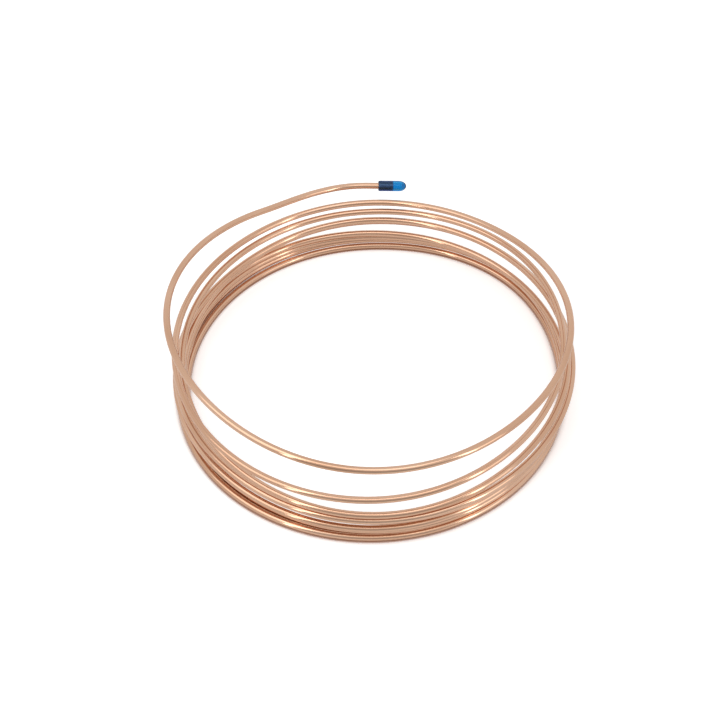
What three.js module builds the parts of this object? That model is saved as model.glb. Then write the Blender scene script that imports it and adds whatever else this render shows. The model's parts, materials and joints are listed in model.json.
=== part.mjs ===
// Copper line tube as it is sold in a loose roll: one 7.5 m length of 4.76 mm tube, wound into
// eight and a half turns that lie on the floor, with a plastic cap pushed over its upper end.
//
// Millimetres, +Z up, +Y towards the back. The origin is on the floor under the middle of the
// roll's bounding box. The centre line is followed from the capped end, which lies at the back
// of the roll and points to +X, anticlockwise and downwards to the open end.

import * as THREE from 'three';

// ---------------------------------------------------------------- driving dimensions

const TUBE_DIAMETER = 4.76;
const TUBE_WALL = 0.71;
const TUBE_RADIUS = TUBE_DIAMETER / 2;
const BORE_RADIUS = TUBE_RADIUS - TUBE_WALL;

const ROLL_RADIUS = 142;      // floor-plan radius of the centre line
const START_ANGLE = 91;       // degrees anticlockwise from +X, where the round turns begin
const END_ANGLE = 3157;       // the same, at the open end, eight turns and a half further on
const STRAIGHT_END = 21.3;    // straight stretch from there to the capped end

// The capped end is bent out of the roll: along this stretch the radius falls by END_OFFSET.
const END_OFFSET = 14;
const END_BEND_ANGLE = 108;   // middle of the bend
const END_BEND_HALF = 18;

// How the loose turns lie. Each row is one turn, from the top down, and starts at the back.
const FIRST_STATION = 90;

// Height of the centre line over the floor, at the back, left, front and right of each turn.
const HEIGHT_STEP = 90;
const HEIGHTS = [
  [53.5, 79.0, 74.0, 69.0],
  [47.0, 43.0, 42.5, 51.0],
  [40.0, 35.0, 29.0, 38.0],
  [31.5, 22.5, 23.5, 28.0],
  [26.5, 17.0, 19.0, 19.5],
  [18.0, 14.5, 14.0, 14.0],
  [12.5, 9.5, 8.5, 8.5],
  [7.5, 4.0, 3.0, 3.0],
  [2.5, 2.5, 2.5, 2.5],
];

// How far the centre line lies outside (+) or inside (-) the roll's radius, at the back, back
// left, left, front left, front, front right, right and back right of each turn.
const SHIFT_STEP = 45;
const SHIFTS = [
  [-4.0, -4.0, -2.0, -4.0, -2.0, -4.5, -3.0, -6.0],
  [-2.5, -4.0, -4.0, -3.0, -2.0, -4.0, -6.0, -3.5],
  [-5.0, -7.5, -8.5, -5.0, 0.5, -1.0, -1.5, -4.0],
  [-5.5, -8.5, -3.5, -3.5, 1.0, 1.5, 3.0, 3.0],
  [-1.5, -6.0, -7.0, -6.5, -2.0, -0.5, -0.5, -3.0],
  [-6.0, -4.0, -2.0, -2.0, 0.5, -1.5, -2.5, 1.5],
  [-4.5, -4.0, -7.0, -4.5, -2.0, -1.5, -1.0, 5.5],
  [-2.0, -3.0, -3.5, -0.5, 0.0, -0.5, -1.5, 4.0],
  [-4.0, -7.5, -8.5, -6.0, -5.5, -5.0],
];

const CAP_DIAMETER = 8.2;
const CAP_LENGTH = 22.0;
const CAP_WALL = 1.4;
const CAP_DOME = 5.8;         // length of its domed tip
const CAP_CROWN = 2.6;        // thickness of plastic at the tip
const CAP_BORE_DOME = 2.0;    // length of the domed end of its bore
const CAP_OVERLAP = 11.4;     // how far the tube goes into the cap
const CAP_MOUTH_ROUNDING = 1.2;

const STEPS_PER_TURN = 40;
const OUTER_SIDES = 10;
const BORE_SIDES = 6;
const CAP_SEGMENTS = 24;
const OUTER_DOME_STEPS = 6;
const INNER_DOME_STEPS = 4;
const MOUTH_STEPS = 3;

// ---------------------------------------------------------------- centre line

// Smooth curve through the stations (Catmull-Rom).
function valueAtAngle(rows, step, angle) {
  const values = rows.flat();
  const last = values.length - 1;
  const place = THREE.MathUtils.clamp((angle - FIRST_STATION) / step, 0, last);
  const index = Math.min(Math.floor(place), last - 1);
  const part = place - index;
  const before = values[Math.max(index - 1, 0)];
  const from = values[index];
  const to = values[index + 1];
  const after = values[Math.min(index + 2, last)];
  const startSlope = (to - before) / 2;
  const endSlope = (after - from) / 2;
  const rise = to - from;
  const cubic = startSlope + endSlope - 2 * rise;
  const square = 3 * rise - 2 * startSlope - endSlope;
  return from + part * (startSlope + part * (square + part * cubic));
}

function endOffset(angle) {
  const bendStart = END_BEND_ANGLE - END_BEND_HALF;
  const bendStop = END_BEND_ANGLE + END_BEND_HALF;
  return END_OFFSET * (1 - THREE.MathUtils.smoothstep(angle, bendStart, bendStop));
}

function coilPoint(angle) {
  const radius = ROLL_RADIUS + valueAtAngle(SHIFTS, SHIFT_STEP, angle) + endOffset(angle);
  const height = valueAtAngle(HEIGHTS, HEIGHT_STEP, angle);
  const turned = THREE.MathUtils.degToRad(angle);
  return new THREE.Vector3(radius * Math.cos(turned), radius * Math.sin(turned), height);
}

class RollCentreLine extends THREE.Curve {
  constructor() {
    super();
    this.straightAngle = THREE.MathUtils.radToDeg(STRAIGHT_END / ROLL_RADIUS);
    this.coilStart = coilPoint(START_ANGLE);
    this.outwards = this.coilStart.clone().sub(coilPoint(START_ANGLE + 0.5)).normalize();
  }

  getPoint(t, target = new THREE.Vector3()) {
    const angle = THREE.MathUtils.lerp(START_ANGLE - this.straightAngle, END_ANGLE, t);
    if (angle >= START_ANGLE) {
      return target.copy(coilPoint(angle));
    }
    const distance = (STRAIGHT_END * (START_ANGLE - angle)) / this.straightAngle;
    return target.copy(this.coilStart).addScaledVector(this.outwards, distance);
  }

  // Sections follow each other by angle, so that those of neighbouring turns stand side by side.
  getUtoTmapping(u) {
    return u;
  }
}

// ---------------------------------------------------------------- pieces

function ring(radius, sides) {
  const points = [];
  for (let i = 0; i < sides; i += 1) {
    const angle = (2 * Math.PI * i) / sides;
    points.push(new THREE.Vector2(radius * Math.cos(angle), radius * Math.sin(angle)));
  }
  return points;
}

function makeTube(centreLine) {
  const section = new THREE.Shape(ring(TUBE_RADIUS, OUTER_SIDES));
  section.holes.push(new THREE.Path(ring(BORE_RADIUS, BORE_SIDES)));
  const turns = (END_ANGLE - START_ANGLE) / 360;
  const geometry = new THREE.ExtrudeGeometry(section, {
    steps: Math.round(turns * STEPS_PER_TURN),
    extrudePath: centreLine,
    bevelEnabled: false,
  });
  const copper = new THREE.MeshStandardMaterial({ color: 0xc98a66, roughness: 0.28, metalness: 1 });
  const tube = new THREE.Mesh(geometry, copper);
  tube.name = 'tube';
  return tube;
}

// A quarter of an ellipse on the cap's outline, from its widest point (side, height) to the
// point that is narrower by inwards and higher by rise.
function quarterArc(side, height, inwards, rise, steps) {
  const points = [];
  for (let i = 0; i < steps; i += 1) {
    const angle = (Math.PI / 2) * (i / steps);
    const x = side - inwards * (1 - Math.cos(angle));
    points.push(new THREE.Vector2(x, height + rise * Math.sin(angle)));
  }
  points.push(new THREE.Vector2(side - inwards, height + rise));
  return points;
}

// The cap is turned about its own axis, from its mouth at 0 to the crown of its dome.
function makeCap() {
  const outer = CAP_DIAMETER / 2;
  const bore = outer - CAP_WALL;
  const lip = CAP_MOUTH_ROUNDING;
  const boreEnd = CAP_LENGTH - CAP_CROWN - CAP_BORE_DOME;
  const profile = [];
  profile.push(new THREE.Vector2(bore, 0));
  profile.push(...quarterArc(outer, lip, lip, -lip, MOUTH_STEPS).reverse());
  profile.push(...quarterArc(outer, CAP_LENGTH - CAP_DOME, outer, CAP_DOME, OUTER_DOME_STEPS));
  profile.push(...quarterArc(bore, boreEnd, bore, CAP_BORE_DOME, INNER_DOME_STEPS).reverse());
  profile.push(new THREE.Vector2(bore, 0));
  const geometry = new THREE.LatheGeometry(profile, CAP_SEGMENTS);
  const plastic = new THREE.MeshStandardMaterial({ color: 0x0a6fc2, roughness: 0.35, metalness: 0 });
  const cap = new THREE.Mesh(geometry, plastic);
  cap.name = 'end_cap';
  return cap;
}

// ---------------------------------------------------------------- assembly

const centreLine = new RollCentreLine();
const tube = makeTube(centreLine);
const cap = makeCap();

const cappedEnd = centreLine.getPoint(0);
cap.position.copy(cappedEnd).addScaledVector(centreLine.outwards, -CAP_OVERLAP);
cap.quaternion.setFromUnitVectors(new THREE.Vector3(0, 1, 0), centreLine.outwards);

const roll = new THREE.Group();
roll.add(tube, cap);

const box = new THREE.Box3().setFromObject(roll, true);
const middle = box.getCenter(new THREE.Vector3());
roll.position.set(-middle.x, -middle.y, -box.min.z);
roll.updateMatrixWorld(true);

export default roll;
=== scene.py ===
import json
import math

import bpy
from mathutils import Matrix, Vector

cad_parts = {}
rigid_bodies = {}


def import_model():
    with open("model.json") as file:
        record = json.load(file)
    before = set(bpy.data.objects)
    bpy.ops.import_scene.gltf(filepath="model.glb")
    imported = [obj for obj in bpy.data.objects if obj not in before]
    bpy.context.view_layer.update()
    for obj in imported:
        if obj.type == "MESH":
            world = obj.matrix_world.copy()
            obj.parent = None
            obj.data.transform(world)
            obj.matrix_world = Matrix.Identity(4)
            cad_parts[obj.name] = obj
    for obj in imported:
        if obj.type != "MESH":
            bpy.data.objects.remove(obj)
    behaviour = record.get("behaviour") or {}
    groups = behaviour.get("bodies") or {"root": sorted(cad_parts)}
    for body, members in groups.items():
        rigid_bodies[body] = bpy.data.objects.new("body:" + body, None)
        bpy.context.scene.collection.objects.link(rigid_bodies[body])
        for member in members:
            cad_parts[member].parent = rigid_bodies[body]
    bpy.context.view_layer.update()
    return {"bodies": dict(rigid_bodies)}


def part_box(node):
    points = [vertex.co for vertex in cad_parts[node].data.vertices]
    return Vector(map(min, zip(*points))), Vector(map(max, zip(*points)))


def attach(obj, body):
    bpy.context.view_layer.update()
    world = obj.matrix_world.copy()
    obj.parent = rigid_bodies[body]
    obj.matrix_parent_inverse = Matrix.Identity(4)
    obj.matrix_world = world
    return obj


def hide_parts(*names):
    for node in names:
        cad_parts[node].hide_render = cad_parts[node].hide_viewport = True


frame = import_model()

bl_info = {
    "name": "Copper Tube Roll",
    "version": (1, 0, 0),
    "blender": (4, 5, 0),
    "location": "View3D > Sidebar > Tube Roll",
    "description": "A loose roll of thin copper line tube with a blue plastic cap on its upper end",
    "category": "Add Mesh",
}

MM = 0.001
WHITE = (1.0, 1.0, 1.0)
SMOOTH_ANGLE = math.radians(40.0)
ROLL_BODY = next(iter(frame["bodies"]))
TUBE_UV = "along_tube"

# ---------------------------------------------------------------------------------------------
# How the roll lies. The plan is polar: an angle runs anticlockwise from +X about the roll's
# axis, downwards from the capped end to the open one, and adds 360 degrees for each turn.

START_ANGLE = 91.0            # where the round turns begin, at the back
END_ANGLE = 3157.0            # the open end, at the front on the floor

# The tables are in millimetres. Each row is one turn, from the top down.
FIRST_STATION = 90.0          # angle of the first value, at the back

# Height of the centre line over the floor, at the back, left, front and right of each turn.
HEIGHT_STEP = 90.0
HEIGHTS = [
    [53.5, 79.0, 74.0, 69.0],
    [47.0, 43.0, 42.5, 51.0],
    [40.0, 35.0, 29.0, 38.0],
    [31.5, 22.5, 23.5, 28.0],
    [26.5, 17.0, 19.0, 19.5],
    [18.0, 14.5, 14.0, 14.0],
    [12.5, 9.5, 8.5, 8.5],
    [7.5, 4.0, 3.0, 3.0],
    [2.5, 2.5, 2.5, 2.5],
]

# How far the centre line lies outside (+) or inside (-) the roll's radius, at the back, back
# left, left, front left, front, front right, right and back right of each turn.
SHIFT_STEP = 45.0
SHIFTS = [
    [-4.0, -4.0, -2.0, -4.0, -2.0, -4.5, -3.0, -6.0],
    [-2.5, -4.0, -4.0, -3.0, -2.0, -4.0, -6.0, -3.5],
    [-5.0, -7.5, -8.5, -5.0, 0.5, -1.0, -1.5, -4.0],
    [-5.5, -8.5, -3.5, -3.5, 1.0, 1.5, 3.0, 3.0],
    [-1.5, -6.0, -7.0, -6.5, -2.0, -0.5, -0.5, -3.0],
    [-6.0, -4.0, -2.0, -2.0, 0.5, -1.5, -2.5, 1.5],
    [-4.5, -4.0, -7.0, -4.5, -2.0, -1.5, -1.0, 5.5],
    [-2.0, -3.0, -3.5, -0.5, 0.0, -0.5, -1.5, 4.0],
    [-4.0, -7.5, -8.5, -6.0, -5.5, -5.0],
]


# ---------------------------------------------------------------------------------------------
# Sizes and colours

def millimetres(name, description, value):
    return bpy.props.FloatProperty(
        name=name, description=description, default=value * MM,
        subtype="DISTANCE", unit="LENGTH", precision=5)


def degrees(name, description, value):
    return bpy.props.FloatProperty(
        name=name, description=description, default=math.radians(value),
        subtype="ANGLE", unit="ROTATION")


def fraction(name, description, value):
    return bpy.props.FloatProperty(
        name=name, description=description, default=value, subtype="FACTOR", min=0.0, max=1.0)


def colour(name, description, rgb):
    return bpy.props.FloatVectorProperty(
        name=name, description=description, default=rgb,
        size=3, subtype="COLOR", min=0.0, max=1.0)


class TubeProperties(bpy.types.PropertyGroup):
    """The copper tube and how it is wound"""
    diameter: millimetres("Diameter", "Outside diameter of the tube", 4.76)
    wall: millimetres("Wall", "Thickness of the tube's wall", 0.71)
    roll_radius: millimetres("Roll radius", "Floor-plan radius of the centre line", 142.0)
    straight_end: millimetres("Straight end", "Straight stretch before the capped end", 21.3)
    end_offset: millimetres("End offset", "How far the capped end is bent out of the roll", 14.0)
    end_bend_angle: degrees("Bend angle", "Where the middle of that bend is", 108.0)
    end_bend_half: degrees("Bend half width", "Half the stretch that the bend takes", 18.0)
    degree_step: degrees("Step", "Turn between two rings of the mesh", 2.5)
    sides: bpy.props.IntProperty(
        name="Sides", description="Sides of the section", default=32, min=8)
    copper: colour("Copper", "Colour of the bright copper", (0.775, 0.5, 0.35))
    tarnish: colour("Tarnish", "Colour of its duller, browner patches", (0.68, 0.41, 0.27))
    roughness: fraction("Roughness", "Roughness of the drawn surface", 0.15)
    grain: fraction("Grain", "How far the drawn lines spread the shine round the tube", 0.7)


class CapProperties(bpy.types.PropertyGroup):
    """The plastic cap on the tube's upper end"""
    diameter: millimetres("Diameter", "Outside diameter of the cap", 8.2)
    length: millimetres("Length", "Length from the mouth to the crown", 22.0)
    wall: millimetres("Wall", "Thickness of its wall, stretched over the tube", 1.73)
    dome: millimetres("Dome", "Length of its domed tip", 5.8)
    bore_dome: millimetres("Bore dome", "Length of the domed end of its bore", 2.0)
    crown: millimetres("Crown", "Thickness of plastic at the tip", 2.6)
    overlap: millimetres("Overlap", "How far the tube goes into the cap", 11.4)
    mouth_rounding: millimetres("Mouth rounding", "Radius of the rounded lip", 1.2)
    blue: colour("Blue", "Colour of the plastic", (0.1, 0.62, 0.88))
    # Painted shade: the copper tube seen dark through the plastic.
    navy: colour("Navy", "The same over the copper tube", (0.12, 0.18, 0.44))
    # Painted shade of the thick tip.
    tip: colour("Tip", "The same in the thick tip", (0.02, 0.12, 0.35))
    shine: colour("Shine", "Tint of its reflections", (0.4, 0.75, 1.0))
    depth_colour: colour(
        "Depth colour", "What the thickness of the plastic lets through", (0.0, 0.53, 0.82))
    density: bpy.props.FloatProperty(
        name="Density", description="How fast it darkens, per metre", default=330.0, min=0.0)
    roughness: fraction("Roughness", "Roughness of the moulded surface", 0.08)


class StageProperties(bpy.types.PropertyGroup):
    """The camera, the floor and the light of the room"""
    lens: bpy.props.FloatProperty(
        name="Lens", description="Focal length on a 36 mm sensor", default=66.3, unit="CAMERA")
    elevation: degrees("Elevation", "Angle that the camera looks down by", 48.5)
    distance: millimetres("Distance", "From the camera to the point that it looks at", 960.0)
    aim_x: millimetres("Aim X", "That point, to the right of the roll's axis", -7.0)
    aim_z: millimetres("Aim Z", "That point, above the floor", 20.0)
    floor: fraction("Floor", "Level of the floor's white", 0.95)
    mirrored_floor: fraction("Mirrored floor", "The same, as shiny metal shows it", 0.5)
    floor_glow: fraction("Floor glow", "Extra light of the open white floor in the view", 0.5)
    # Painted shade: a copper-brown tint on the floor in the gaps of the turns.
    painted_gap_shade: colour(
        "Under the tube", "Tint of the floor in the gaps of the turns", (0.3, 0.14, 0.08))
    shadow_reach: millimetres("Shadow reach", "How far from the tube that tint fades", 10.0)
    mirrored_glow: fraction("Mirrored glow", "Extra light of the floor in shiny metal", 0.45)
    room_light: fraction("Room light", "Level of the light from all round", 0.55)
    mirrored_room: fraction("Mirrored room", "Level of the white room in shiny metal", 0.83)
    shade: fraction("Shade", "How much of the light is left at the front of the room", 0.54)


# ---------------------------------------------------------------------------------------------
# Route of the tube

STRAIGHT_STEPS = 5            # rings of the mesh along the straight capped end
ANGLE_AHEAD = 0.5             # degrees to the point that gives a turn's direction


def value_at_angle(rows, step, angle):
    """Smooth curve through a table's values (Catmull-Rom), in metres."""
    values = [value for row in rows for value in row]
    last = len(values) - 1
    place = min(max((angle - FIRST_STATION) / step, 0.0), last)
    index = min(int(place), last - 1)
    part = place - index
    before = values[max(index - 1, 0)]
    start = values[index]
    stop = values[index + 1]
    after = values[min(index + 2, last)]
    start_slope = (stop - before) / 2
    stop_slope = (after - start) / 2
    rise = stop - start
    cubic = start_slope + stop_slope - 2 * rise
    square = 3 * rise - 2 * start_slope - stop_slope
    return (start + part * (start_slope + part * (square + part * cubic))) * MM


def smoothstep(x, low, high):
    part = min(max((x - low) / (high - low), 0.0), 1.0)
    return part * part * (3 - 2 * part)


def coil_point(tube, angle):
    """A point of the centre line, from the roll's own axis."""
    bend = math.degrees(tube.end_bend_angle)
    half = math.degrees(tube.end_bend_half)
    radius = tube.roll_radius + value_at_angle(SHIFTS, SHIFT_STEP, angle)
    radius += tube.end_offset * (1 - smoothstep(angle, bend - half, bend + half))
    height = value_at_angle(HEIGHTS, HEIGHT_STEP, angle)
    turned = math.radians(angle)
    return Vector((radius * math.cos(turned), radius * math.sin(turned), height))


def capped_end(tube):
    """Where the round turns begin, and the direction from there to the capped end."""
    start = coil_point(tube, START_ANGLE)
    outwards = (start - coil_point(tube, START_ANGLE + ANGLE_AHEAD)).normalized()
    return start, outwards


def route_about_axis(tube):
    """Points of the whole centre line, from the capped end to the open one."""
    start, outwards = capped_end(tube)
    points = []
    for i in range(STRAIGHT_STEPS):
        points.append(start + outwards * tube.straight_end * (1 - i / STRAIGHT_STEPS))
    steps = round((END_ANGLE - START_ANGLE) / math.degrees(tube.degree_step))
    for i in range(steps + 1):
        points.append(coil_point(tube, START_ANGLE + (END_ANGLE - START_ANGLE) * i / steps))
    return points


def roll_axis(tube):
    """Foot of the roll's axis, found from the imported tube's own box."""
    points = route_about_axis(tube)
    low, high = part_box("tube")
    foot = Vector()
    for i in range(2):
        middle = (min(p[i] for p in points) + max(p[i] for p in points)) / 2
        foot[i] = (low[i] + high[i]) / 2 - middle
    foot.z = low[2] + tube.diameter / 2 - min(p.z for p in points)
    return foot


# ---------------------------------------------------------------------------------------------
# Objects

def deselect_all():
    bpy.ops.object.select_all(action="DESELECT")


def take(obj):
    """Makes obj the only selected and the active object."""
    deselect_all()
    obj.select_set(True)
    bpy.context.view_layer.objects.active = obj


def apply_modifier(obj, kind, **settings):
    take(obj)
    bpy.ops.object.modifier_add(type=kind)
    modifier = obj.modifiers[-1]
    for key, value in settings.items():
        setattr(modifier, key, value)
    bpy.ops.object.modifier_apply(modifier=modifier.name)


def finish_piece(obj, material, slot, *replaced):
    """Transforms applied, material on, riding on the roll and standing for its CAD nodes."""
    take(obj)
    bpy.ops.object.transform_apply(location=True, rotation=True, scale=True)
    obj.data.materials.clear()
    obj.data.materials.append(material)
    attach(obj, ROLL_BODY)
    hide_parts(*replaced)


# ---------------------------------------------------------------------------------------------
# Nodes

def empty_tree(owner):
    """The node tree of a material or a world, turned on and cleared."""
    owner.use_nodes = True
    owner.node_tree.nodes.clear()
    return owner.node_tree


def node(tree, kind, **settings):
    made = tree.nodes.new(kind)
    for key, value in settings.items():
        setattr(made, key, value)
    return made


def remap(tree, value, from_range=(0.0, 1.0), to_range=(0.0, 1.0), curve="LINEAR"):
    """A value taken from one range to another, and held at its ends."""
    made = node(tree, "ShaderNodeMapRange", interpolation_type=curve)
    names = ("From Min", "From Max", "To Min", "To Max")
    for name, limit in zip(names, (*from_range, *to_range)):
        made.inputs[name].default_value = limit
    tree.links.new(value, made.inputs["Value"])
    return made.outputs["Result"]


def combine(tree, operation, first, second):
    """Two values joined by an operation of the Math node."""
    made = node(tree, "ShaderNodeMath", operation=operation)
    tree.links.new(first, made.inputs[0])
    tree.links.new(second, made.inputs[1])
    return made.outputs["Value"]


def dot_product(tree, vector, direction):
    made = node(tree, "ShaderNodeVectorMath", operation="DOT_PRODUCT")
    made.inputs[1].default_value = direction
    tree.links.new(vector, made.inputs[0])
    return made.outputs["Value"]


def mix_colours(tree, factor, first, second):
    """The first colour where factor is 0, and the second where it is 1."""
    made = node(tree, "ShaderNodeMix", data_type="RGBA")
    made.inputs["A"].default_value = (*first, 1.0)
    made.inputs["B"].default_value = (*second, 1.0)
    tree.links.new(factor, made.inputs["Factor"])
    return made.outputs["Result"]


def seen_directly(tree, light):
    """1 for what the camera sees straight or through clear plastic, and 0 for the rest."""
    return combine(
        tree, "MAXIMUM", light.outputs["Is Camera Ray"], light.outputs["Is Transmission Ray"])


# ---------------------------------------------------------------------------------------------
# Copper

DRIFT_CELLS = (90.0, 1.0)     # of the noise, along the whole tube and round it
DRIFT_DETAIL = 3.0
ALL_BRIGHT = 0.35             # the copper is bright where the drift is below this
ALL_DULL = 0.7                # and dull where it is above this
LINE_CELLS = (40.0, 48.0)     # of the noise, along the whole tube and round it
LINE_DETAIL = 2.0
LINE_SHINE = 0.06             # how far the lines change the roughness, up and down
LINE_DEPTH = 0.05 * MM
LINE_STRENGTH = 0.1
ROUND_THE_TUBE = 0.25         # a quarter turn from the tangent, which runs along the tube


def make_copper(tube):
    """Drawn copper, with its shine spread round the tube."""
    material = bpy.data.materials.new("drawn_copper")
    tree = empty_tree(material)
    output = node(tree, "ShaderNodeOutputMaterial")
    shader = node(tree, "ShaderNodeBsdfPrincipled")
    shader.inputs["Metallic"].default_value = 1.0
    tree.links.new(shader.outputs["BSDF"], output.inputs["Surface"])
    along = node(tree, "ShaderNodeUVMap", uv_map=TUBE_UV).outputs["UV"]

    # The drawn lines run along the tube, so that the shine spreads round it.
    shader.inputs["Anisotropic"].default_value = tube.grain
    shader.inputs["Anisotropic Rotation"].default_value = ROUND_THE_TUBE
    tangent = node(tree, "ShaderNodeTangent", direction_type="UV_MAP", uv_map=TUBE_UV)
    tree.links.new(tangent.outputs["Tangent"], shader.inputs["Tangent"])

    # Slow drift between bright and duller copper along the metres of tube.
    drift = stretched_noise(tree, along, DRIFT_CELLS, DRIFT_DETAIL)
    dullness = remap(tree, drift, from_range=(ALL_BRIGHT, ALL_DULL))
    tint = mix_colours(tree, dullness, tube.copper, tube.tarnish)
    tree.links.new(tint, shader.inputs["Base Color"])

    # Fine lines that the drawing die leaves along the tube.
    lines = stretched_noise(tree, along, LINE_CELLS, LINE_DETAIL)
    roughness = (tube.roughness - LINE_SHINE, tube.roughness + LINE_SHINE)
    polish = remap(tree, lines, to_range=roughness)
    tree.links.new(polish, shader.inputs["Roughness"])
    bump = node(tree, "ShaderNodeBump")
    bump.inputs["Strength"].default_value = LINE_STRENGTH
    bump.inputs["Distance"].default_value = LINE_DEPTH
    tree.links.new(lines, bump.inputs["Height"])
    tree.links.new(bump.outputs["Normal"], shader.inputs["Normal"])
    return material


def stretched_noise(tree, along, cells, detail):
    """Noise with its own scale along the tube and round it."""
    place = node(tree, "ShaderNodeMapping")
    place.inputs["Scale"].default_value = (*cells, 1.0)
    tree.links.new(along, place.inputs["Vector"])
    noise = node(tree, "ShaderNodeTexNoise", noise_dimensions="2D")
    noise.inputs["Scale"].default_value = 1.0
    noise.inputs["Detail"].default_value = detail
    tree.links.new(place.outputs["Vector"], noise.inputs["Vector"])
    return noise.outputs["Fac"]


# ---------------------------------------------------------------------------------------------
# Plastic

# Shares of the cap's length.
NAVY_EDGE = 0.02              # in which the painted navy shade gives way to blue, past the end of the tube
TIP_START = 0.85              # where the painted shade of the thick tip begins

PLASTIC_IOR = 1.49
MOTTLE_SCALE = 700.0          # cells per metre
MOTTLE_DETAIL = 2.0
MOTTLE_SHINE = 2.0            # the roughness is divided and multiplied by this


def make_blue_plastic(cap, mouth, outwards):
    """Clear blue plastic, with painted shade where the copper shows through it and in its thick
    tip.
    """
    material = bpy.data.materials.new("blue_plastic")
    tree = empty_tree(material)
    output = node(tree, "ShaderNodeOutputMaterial")
    shader = node(tree, "ShaderNodeBsdfPrincipled")
    shader.inputs["Specular Tint"].default_value = (*cap.shine, 1.0)
    shader.inputs["IOR"].default_value = PLASTIC_IOR
    shader.inputs["Transmission Weight"].default_value = 1.0
    tree.links.new(shader.outputs["BSDF"], output.inputs["Surface"])

    # Its colour changes along the cap, from 0 at the mouth to 1 at the crown: painted shade over
    # the tube and in the tip.
    place = node(tree, "ShaderNodeTexCoord")
    from_mouth = node(tree, "ShaderNodeVectorMath", operation="SUBTRACT")
    from_mouth.inputs[1].default_value = mouth
    tree.links.new(place.outputs["Object"], from_mouth.inputs[0])
    along = dot_product(tree, from_mouth.outputs["Vector"], outwards / cap.length)
    shade_ramp = node(tree, "ShaderNodeValToRGB")
    stops = shade_ramp.color_ramp.elements
    tube_end = cap.overlap / cap.length
    stops[0].position = tube_end
    stops[0].color = (*cap.navy, 1.0)
    stops[1].position = 1.0
    stops[1].color = (*cap.tip, 1.0)
    for position in (tube_end + NAVY_EDGE, TIP_START):
        stops.new(position).color = (*cap.blue, 1.0)
    tree.links.new(along, shade_ramp.inputs["Fac"])
    tree.links.new(shade_ramp.outputs["Color"], shader.inputs["Base Color"])

    # The moulded skin shines unevenly.
    mottle = node(tree, "ShaderNodeTexNoise")
    mottle.inputs["Scale"].default_value = MOTTLE_SCALE
    mottle.inputs["Detail"].default_value = MOTTLE_DETAIL
    tree.links.new(place.outputs["Object"], mottle.inputs["Vector"])
    roughness = (cap.roughness / MOTTLE_SHINE, cap.roughness * MOTTLE_SHINE)
    polish = remap(tree, mottle.outputs["Fac"], to_range=roughness)
    tree.links.new(polish, shader.inputs["Roughness"])

    # Its thickness darkens it.
    depth = node(tree, "ShaderNodeVolumeAbsorption")
    depth.inputs["Color"].default_value = (*cap.depth_colour, 1.0)
    depth.inputs["Density"].default_value = cap.density
    tree.links.new(depth.outputs["Volume"], output.inputs["Volume"])
    return material


# ---------------------------------------------------------------------------------------------
# Tube

INWARDS = -1.0                # the side of the swept surface that the wall lies on


class ROLL_OT_tube(bpy.types.Operator):
    """Sweep the tube's round section along the turns and give it its bore"""
    bl_idname = "roll.tube"
    bl_label = "Tube"

    def execute(self, context):
        tube = context.scene.roll_tube
        axis = roll_axis(tube)
        points = [point + axis for point in route_about_axis(tube)]
        swept = bpy.data.objects.new("copper_tube", tube_route(tube, points))
        context.collection.objects.link(swept)
        take(swept)
        bpy.ops.object.convert(target="MESH")
        piece = context.object
        piece.data.uv_layers[0].name = TUBE_UV
        apply_modifier(
            piece, "SOLIDIFY", thickness=tube.wall, offset=INWARDS, use_even_offset=True)
        bpy.ops.object.shade_smooth_by_angle(angle=SMOOTH_ANGLE)
        finish_piece(piece, make_copper(tube), "copper", "tube")
        return {"FINISHED"}


def tube_route(tube, points):
    """A curve through points, with the tube's round section."""
    route = bpy.data.curves.new("tube_route", "CURVE")
    route.dimensions = "3D"
    route.twist_mode = "Z_UP"
    spline = route.splines.new("POLY")
    spline.points.add(len(points) - 1)
    for place, point in zip(spline.points, points):
        place.co = (*point, 1.0)
    route.bevel_depth = tube.diameter / 2
    # The section has four sides, and two more for each step of the resolution.
    route.bevel_resolution = (tube.sides - 4) // 2
    return route


# ---------------------------------------------------------------------------------------------
# Cap

CAP_SIDES = 64
DOME_STEPS = 14
MOUTH_STEPS = 6
SMALLEST_RING = 0.001         # size of the last ring of a dome, as a share of the one before
NEARLY = 0.01                 # how close an edge is to the mouth's ring, as a share of its radius


class ROLL_OT_cap(bpy.types.Operator):
    """Mould the cap and push it over the tube's upper end"""
    bl_idname = "roll.cap"
    bl_label = "Cap"

    def execute(self, context):
        tube = context.scene.roll_tube
        cap = context.scene.roll_cap
        piece = mould_cap(context, cap)
        start, outwards = capped_end(tube)
        tube_end = roll_axis(tube) + start + outwards * tube.straight_end
        mouth = tube_end - outwards * cap.overlap
        piece.location = mouth
        piece.rotation_mode = "QUATERNION"
        piece.rotation_quaternion = Vector((0.0, 0.0, 1.0)).rotation_difference(outwards)
        plastic = make_blue_plastic(cap, mouth, outwards)
        finish_piece(piece, plastic, "cap_plastic", "end_cap")
        return {"FINISHED"}


def mould_cap(context, cap):
    """The hollow cap, standing on its mouth at the origin."""
    radius = cap.diameter / 2
    bore = radius - cap.wall
    deselect_all()
    bpy.ops.mesh.primitive_circle_add(vertices=CAP_SIDES, radius=radius, fill_type="NOTHING")
    piece = context.object
    piece.name = "blue_cap"
    bpy.ops.object.mode_set(mode="EDIT")
    bpy.ops.mesh.select_all(action="SELECT")
    extrude_rings((0.0, radius), dome_rings(radius, cap.dome, cap.length))
    select_mouth(piece, radius)
    bore_rings = [(0.0, bore), *dome_rings(bore, cap.bore_dome, cap.length - cap.crown)]
    extrude_rings((0.0, radius), bore_rings)
    bpy.ops.mesh.select_all(action="SELECT")
    bpy.ops.mesh.normals_make_consistent(inside=False)
    select_mouth(piece, radius)
    bpy.ops.mesh.bevel(offset=cap.mouth_rounding, segments=MOUTH_STEPS, affect="EDGES")
    bpy.ops.object.mode_set(mode="OBJECT")
    bpy.ops.object.shade_smooth_by_angle(angle=SMOOTH_ANGLE)
    return piece


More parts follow.
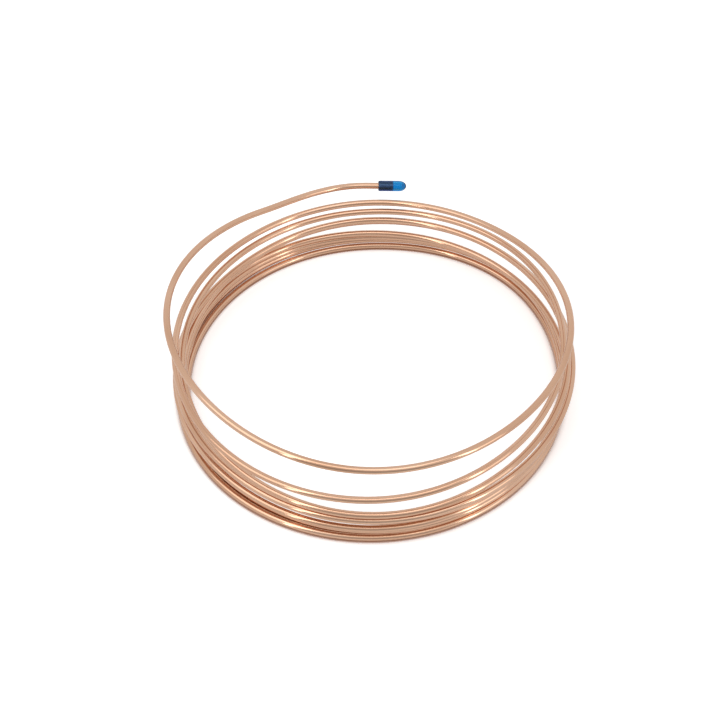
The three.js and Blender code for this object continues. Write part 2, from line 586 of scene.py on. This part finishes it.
def dome_rings(radius, rise, crown_height):
    """(height, radius) of the rings of a dome, the last of them at its crown."""
    rings = []
    for i in range(DOME_STEPS + 1):
        angle = math.pi / 2 * i / DOME_STEPS
        rings.append((crown_height - rise * (1 - math.sin(angle)), radius * math.cos(angle)))
    return rings


def extrude_rings(start, rings):
    """Extrudes the selected ring upwards through rings and closes it at the crown."""
    height, radius = start
    for new_height, new_radius in rings:
        bpy.ops.mesh.extrude_region_move(
            TRANSFORM_OT_translate={"value": (0.0, 0.0, new_height - height)})
        size = max(new_radius / radius, SMALLEST_RING)
        bpy.ops.transform.resize(
            value=(size, size, 1.0), center_override=(0.0, 0.0, new_height))
        height = new_height
        radius = new_radius
    bpy.ops.mesh.merge(type="CENTER")


def select_mouth(piece, radius):
    """Selects the ring of edges round the outside of the mouth, in edit mode."""
    bpy.ops.mesh.select_all(action="DESELECT")
    bpy.ops.mesh.select_mode(type="EDGE")
    bpy.ops.object.mode_set(mode="OBJECT")
    mesh = piece.data
    nearly = radius * NEARLY
    for edge in mesh.edges:
        ends = [mesh.vertices[i].co for i in edge.vertices]
        edge.select = all(
            abs(co.z) < nearly and abs(co.xy.length - radius) < nearly for co in ends)
    bpy.ops.object.mode_set(mode="EDIT")


# ---------------------------------------------------------------------------------------------
# Stage

SENSOR_WIDTH = 36.0           # millimetres, as a camera's sensor is given
NEAREST_SEEN = 0.01           # metres from the camera
FLOOR_SIZE = 8.0              # metres

# Name, azimuth and elevation from the roll in degrees, distance, width and height in metres,
# and brightness, where white paper in full light is 1.
LAMPS = [
    ("left_strip", 233.0, 28.0, 1.4, 0.1, 1.7, 2.9),
    ("right_strip", 318.0, 14.0, 1.4, 0.14, 1.4, 2.3),
    ("left_softbox", 202.0, 50.0, 1.6, 1.0, 1.1, 0.82),
    ("right_softbox", 325.0, 12.0, 1.6, 0.6, 1.2, 0.75),
    ("top_softbox", 262.0, 77.0, 1.6, 1.3, 0.8, 0.95),
]

# The room is darker at the front, by the cosine of the angle from there.
FRONT_OF_ROOM = (272.0, 0.0)  # azimuth and elevation in degrees
SHADE_WHOLE = 0.9             # the shade is whole where the cosine is above this
SHADE_GONE = 0.6              # and gone where it is below this

# The floor's mirrored glow fades towards the front. Metres along Y.
GLOW_WHOLE = -0.22            # the glow is whole behind this line
GLOW_GONE = -0.5              # and gone in front of this one

# How open the floor is to the room, from 0 to 1.
CLOSED_IN = 0.35              # below this its painted shade tint is whole
IN_THE_OPEN = 0.75            # above this it is white
OPENNESS_SAMPLES = 8


class ROLL_OT_stage(bpy.types.Operator):
    """Set the floor, the lamps and the camera"""
    bl_idname = "roll.stage"
    bl_label = "Stage"

    def execute(self, context):
        stage = context.scene.roll_stage
        axis = roll_axis(context.scene.roll_tube)
        context.scene.view_settings.view_transform = "Standard"
        add_camera(context, stage, axis)
        add_floor(context, stage)
        add_lamps(context, axis)
        set_world(context, stage)
        return {"FINISHED"}


def add_camera(context, stage, axis):
    aim = axis + Vector((stage.aim_x, 0.0, stage.aim_z))
    towards = Vector((0.0, math.cos(stage.elevation), -math.sin(stage.elevation)))
    deselect_all()
    bpy.ops.object.camera_add(
        location=aim - towards * stage.distance,
        rotation=(math.pi / 2 - stage.elevation, 0.0, 0.0))
    camera = context.object
    camera.name = "camera"
    camera.data.sensor_width = SENSOR_WIDTH
    camera.data.lens = stage.lens
    camera.data.clip_start = NEAREST_SEEN
    context.scene.camera = camera


def add_floor(context, stage):
    deselect_all()
    bpy.ops.mesh.primitive_plane_add(size=FLOOR_SIZE, location=(0.0, 0.0, 0.0))
    floor = context.object
    floor.name = "floor"
    floor.data.materials.append(make_floor(stage))


def compass(azimuth, elevation):
    """Unit direction from the roll, by degrees anticlockwise from +X and degrees up."""
    turned = math.radians(azimuth)
    raised = math.radians(elevation)
    level = math.cos(raised)
    return Vector((math.cos(turned) * level, math.sin(turned) * level, math.sin(raised)))


def add_lamps(context, axis):
    for name, azimuth, elevation, distance, width, height, brightness in LAMPS:
        out = compass(azimuth, elevation)
        turn = out.to_track_quat("Z", "Y").to_euler()
        deselect_all()
        bpy.ops.object.light_add(type="AREA", location=axis + out * distance, rotation=turn)
        lamp = context.object
        lamp.name = name
        lamp.data.shape = "RECTANGLE"
        lamp.data.size = width
        lamp.data.size_y = height
        # The watts that make a lamp of this size so bright.
        lamp.data.energy = brightness * math.pi * width * height


def set_world(context, stage):
    """White room that lights the roll from all round."""
    world = bpy.data.worlds.new("studio")
    context.scene.world = world
    tree = empty_tree(world)
    output = node(tree, "ShaderNodeOutputWorld")
    background = node(tree, "ShaderNodeBackground")
    background.inputs["Color"].default_value = (*WHITE, 1.0)
    tree.links.new(background.outputs["Background"], output.inputs["Surface"])
    light = node(tree, "ShaderNodeLightPath")
    place = node(tree, "ShaderNodeTexCoord")
    facing = dot_product(tree, place.outputs["Generated"], compass(*FRONT_OF_ROOM))
    shaded = remap(
        tree, facing, from_range=(SHADE_GONE, SHADE_WHOLE), to_range=(1.0, stage.shade),
        curve="SMOOTHSTEP")

    # Shiny metal shows the white room, and the rest is lit at a plain level.
    levels = (stage.room_light, stage.mirrored_room)
    level = remap(tree, light.outputs["Is Glossy Ray"], to_range=levels)
    room = combine(tree, "MULTIPLY", level, shaded)
    strength = combine(tree, "MAXIMUM", seen_directly(tree, light), room)
    tree.links.new(strength, background.inputs["Strength"])


def make_floor(stage):
    """Pale floor, white in the view and darker towards the front in the metal's reflections."""
    material = bpy.data.materials.new("pale_floor")
    tree = empty_tree(material)
    output = node(tree, "ShaderNodeOutputMaterial")
    light = node(tree, "ShaderNodeLightPath")

    # Between the turns the floor gets little light but what the copper throws on it, so a painted
    # shade tinted like copper darkens it where ambient occlusion finds it closed in.
    openness = node(tree, "ShaderNodeAmbientOcclusion", samples=OPENNESS_SAMPLES)
    openness.inputs["Distance"].default_value = stage.shadow_reach
    is_open = remap(
        tree, openness.outputs["AO"], from_range=(CLOSED_IN, IN_THE_OPEN), curve="SMOOTHSTEP")
    tint = mix_colours(tree, is_open, stage.painted_gap_shade, WHITE)

    # Its paint is white in the view and darker in shiny metal.
    levels = (stage.floor, stage.mirrored_floor)
    paint = remap(tree, light.outputs["Is Glossy Ray"], to_range=levels)
    painted = node(tree, "ShaderNodeVectorMath", operation="SCALE")
    tree.links.new(tint, painted.inputs[0])
    tree.links.new(paint, painted.inputs["Scale"])
    diffuse = node(tree, "ShaderNodeBsdfDiffuse")
    tree.links.new(painted.outputs["Vector"], diffuse.inputs["Color"])

    # Its glow whitens it in the view, and brightens it in shiny metal except at the front.
    place = node(tree, "ShaderNodeTexCoord")
    apart = node(tree, "ShaderNodeSeparateXYZ")
    tree.links.new(place.outputs["Object"], apart.inputs["Vector"])
    fade = remap(
        tree, apart.outputs["Y"], from_range=(GLOW_GONE, GLOW_WHOLE),
        to_range=(0.0, stage.mirrored_glow), curve="SMOOTHSTEP")
    mirrored = combine(tree, "MULTIPLY", light.outputs["Is Glossy Ray"], fade)
    white = remap(tree, seen_directly(tree, light), to_range=(0.0, stage.floor_glow))
    strength = combine(tree, "MAXIMUM", white, mirrored)
    glow = node(tree, "ShaderNodeEmission")
    # The glow carries the same painted gap shade.
    tree.links.new(tint, glow.inputs["Color"])
    tree.links.new(strength, glow.inputs["Strength"])

    both = node(tree, "ShaderNodeAddShader")
    tree.links.new(diffuse.outputs["BSDF"], both.inputs[0])
    tree.links.new(glow.outputs["Emission"], both.inputs[1])
    tree.links.new(both.outputs["Shader"], output.inputs["Surface"])
    return material


# ---------------------------------------------------------------------------------------------
# Panel and registration

OPERATORS = (ROLL_OT_tube, ROLL_OT_cap, ROLL_OT_stage)


class ROLL_PT_panel(bpy.types.Panel):
    """Buttons for the roll's pieces and its stage"""
    bl_idname = "ROLL_PT_panel"
    bl_label = "Tube Roll"
    bl_space_type = "VIEW_3D"
    bl_region_type = "UI"
    bl_category = "Tube Roll"

    def draw(self, context):
        for operator in OPERATORS:
            self.layout.operator(operator.bl_idname)


CLASSES = (TubeProperties, CapProperties, StageProperties, *OPERATORS, ROLL_PT_panel)


def register():
    for item in CLASSES:
        bpy.utils.register_class(item)
    bpy.types.Scene.roll_tube = bpy.props.PointerProperty(type=TubeProperties)
    bpy.types.Scene.roll_cap = bpy.props.PointerProperty(type=CapProperties)
    bpy.types.Scene.roll_stage = bpy.props.PointerProperty(type=StageProperties)


def unregister():
    del bpy.types.Scene.roll_stage
    del bpy.types.Scene.roll_cap
    del bpy.types.Scene.roll_tube
    for item in reversed(CLASSES):
        bpy.utils.unregister_class(item)


def main():
    register()
    bpy.ops.roll.tube()
    bpy.ops.roll.cap()
    bpy.ops.roll.stage()


if __name__ == "__main__":
    main()
